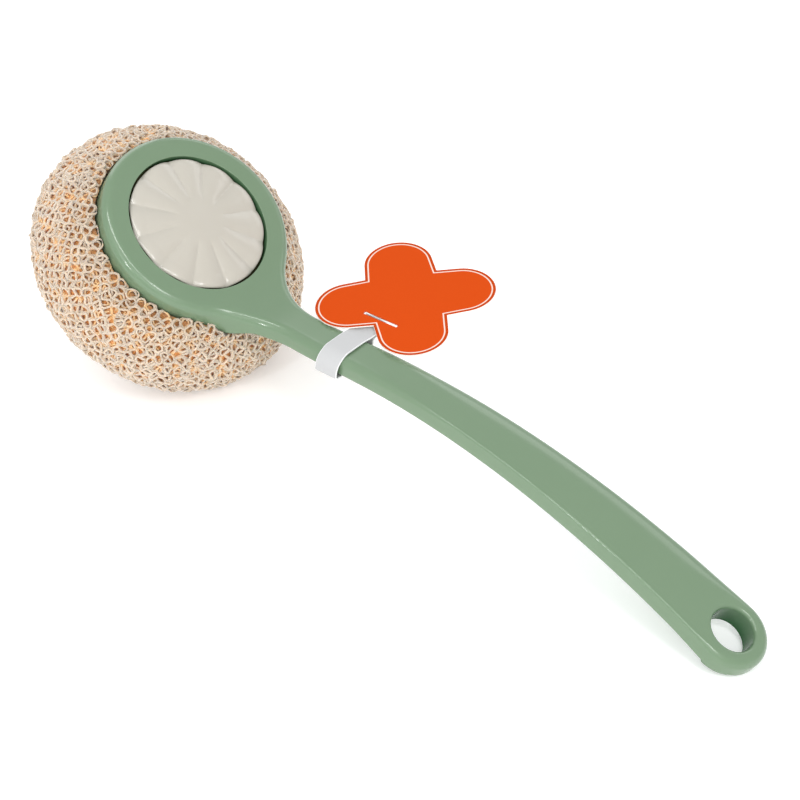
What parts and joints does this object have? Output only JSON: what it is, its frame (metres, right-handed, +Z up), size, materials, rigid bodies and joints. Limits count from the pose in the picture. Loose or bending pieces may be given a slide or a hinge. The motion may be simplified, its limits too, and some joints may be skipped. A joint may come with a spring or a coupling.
{
  "type": "dish brush",
  "caption": "Long-handled dish brush with a knitted scrub ball held by a spring clamp, a push button in the head's ring, a hang hole and a card hang tag.",
  "frame": {"origin": "middle of the small flat under the ball, on which the brush rests together with the foot under its hang hole", "axes": "+X from the head towards the handle's tip, +Z up, XZ the handle's middle plane"},
  "size_m": [0.2795, 0.1008, 0.0737],
  "materials": {
    "sage_green_polypropylene": "moulded, softly glossy",
    "cream_polypropylene": "moulded, softly glossy",
    "natural_nylon": "moulded, satin",
    "stainless_steel": "bright",
    "spring_steel": "drawn wire",
    "knitted_cream_fibre": "open knitted loops, dry",
    "white_thread": "twisted",
    "orange_printed_card": "coated print",
    "white_card": "coated, uncreased"
  },
  "bodies": {
    "brush": {"handle": "sage_green_polypropylene", "base_cover": "sage_green_polypropylene", "cover_screw_1": "stainless_steel", "cover_screw_2": "stainless_steel", "cover_screw_3": "stainless_steel", "cover_screw_4": "stainless_steel", "spring_washer": "stainless_steel", "return_spring": "spring_steel", "tag_strap": "white_card"},
    "button": {"release_button": "cream_polypropylene", "push_rod": "natural_nylon", "jaw_carrier": "natural_nylon", "carrier_screw": "stainless_steel", "jaw_pin_1": "stainless_steel", "jaw_pin_2": "stainless_steel", "jaw_pin_3": "stainless_steel", "jaw_pin_4": "stainless_steel"},
    "jaw_1": {"clamp_jaw_1": "natural_nylon"},
    "jaw_2": {"clamp_jaw_2": "natural_nylon"},
    "jaw_3": {"clamp_jaw_3": "natural_nylon"},
    "jaw_4": {"clamp_jaw_4": "natural_nylon"},
    "ball": {"scrub_ball": "knitted_cream_fibre", "gather_knot": "knitted_cream_fibre", "tie_cord": "white_thread"},
    "tag": {"hang_tag": "orange_printed_card"}
  },
  "joints": [
    {"name": "button_press", "type": "slide", "parent": "brush", "child": "button", "axis": [-0.5793, 0, -0.8151], "range_m": [0, 0.0034], "stiffness_N_per_m": 700, "springref_m": -0.003, "deforming": ["return_spring"]},
    {"name": "jaw_1_swing", "type": "hinge", "parent": "button", "child": "jaw_1", "pos_m": [-0.01449, 0.00368, 0.03567], "axis": [0.5764, -0.7071, -0.4096], "range_deg": [0, 11]},
    {"name": "jaw_2_swing", "type": "hinge", "parent": "button", "child": "jaw_2", "pos_m": [-0.02048, 0.00368, 0.03993], "axis": [0.5764, 0.7071, -0.4096], "range_deg": [0, 11]},
    {"name": "jaw_3_swing", "type": "hinge", "parent": "button", "child": "jaw_3", "pos_m": [-0.02048, -0.00368, 0.03993], "axis": [-0.5764, 0.7071, 0.4096], "range_deg": [0, 11]},
    {"name": "jaw_4_swing", "type": "hinge", "parent": "button", "child": "jaw_4", "pos_m": [-0.01449, -0.00368, 0.03567], "axis": [-0.5764, -0.7071, 0.4096], "range_deg": [0, 11]},
    {"name": "ball_release", "type": "slide", "parent": "brush", "child": "ball", "axis": [-0.5793, 0, -0.8151], "range_m": [0, 0.04]},
    {"name": "tag_flap", "type": "hinge", "parent": "brush", "child": "tag", "pos_m": [0.06035, 0.01585, 0.03965], "axis": [0.9976, 0, 0.0698], "range_deg": [-30, 1.5]}
  ],
  "couplings": [
    {"joint": "jaw_1_swing", "follows": "button_press", "rad_per_m": 56},
    {"joint": "jaw_2_swing", "follows": "button_press", "rad_per_m": 56},
    {"joint": "jaw_3_swing", "follows": "button_press", "rad_per_m": 56},
    {"joint": "jaw_4_swing", "follows": "button_press", "rad_per_m": 56}
  ]
}
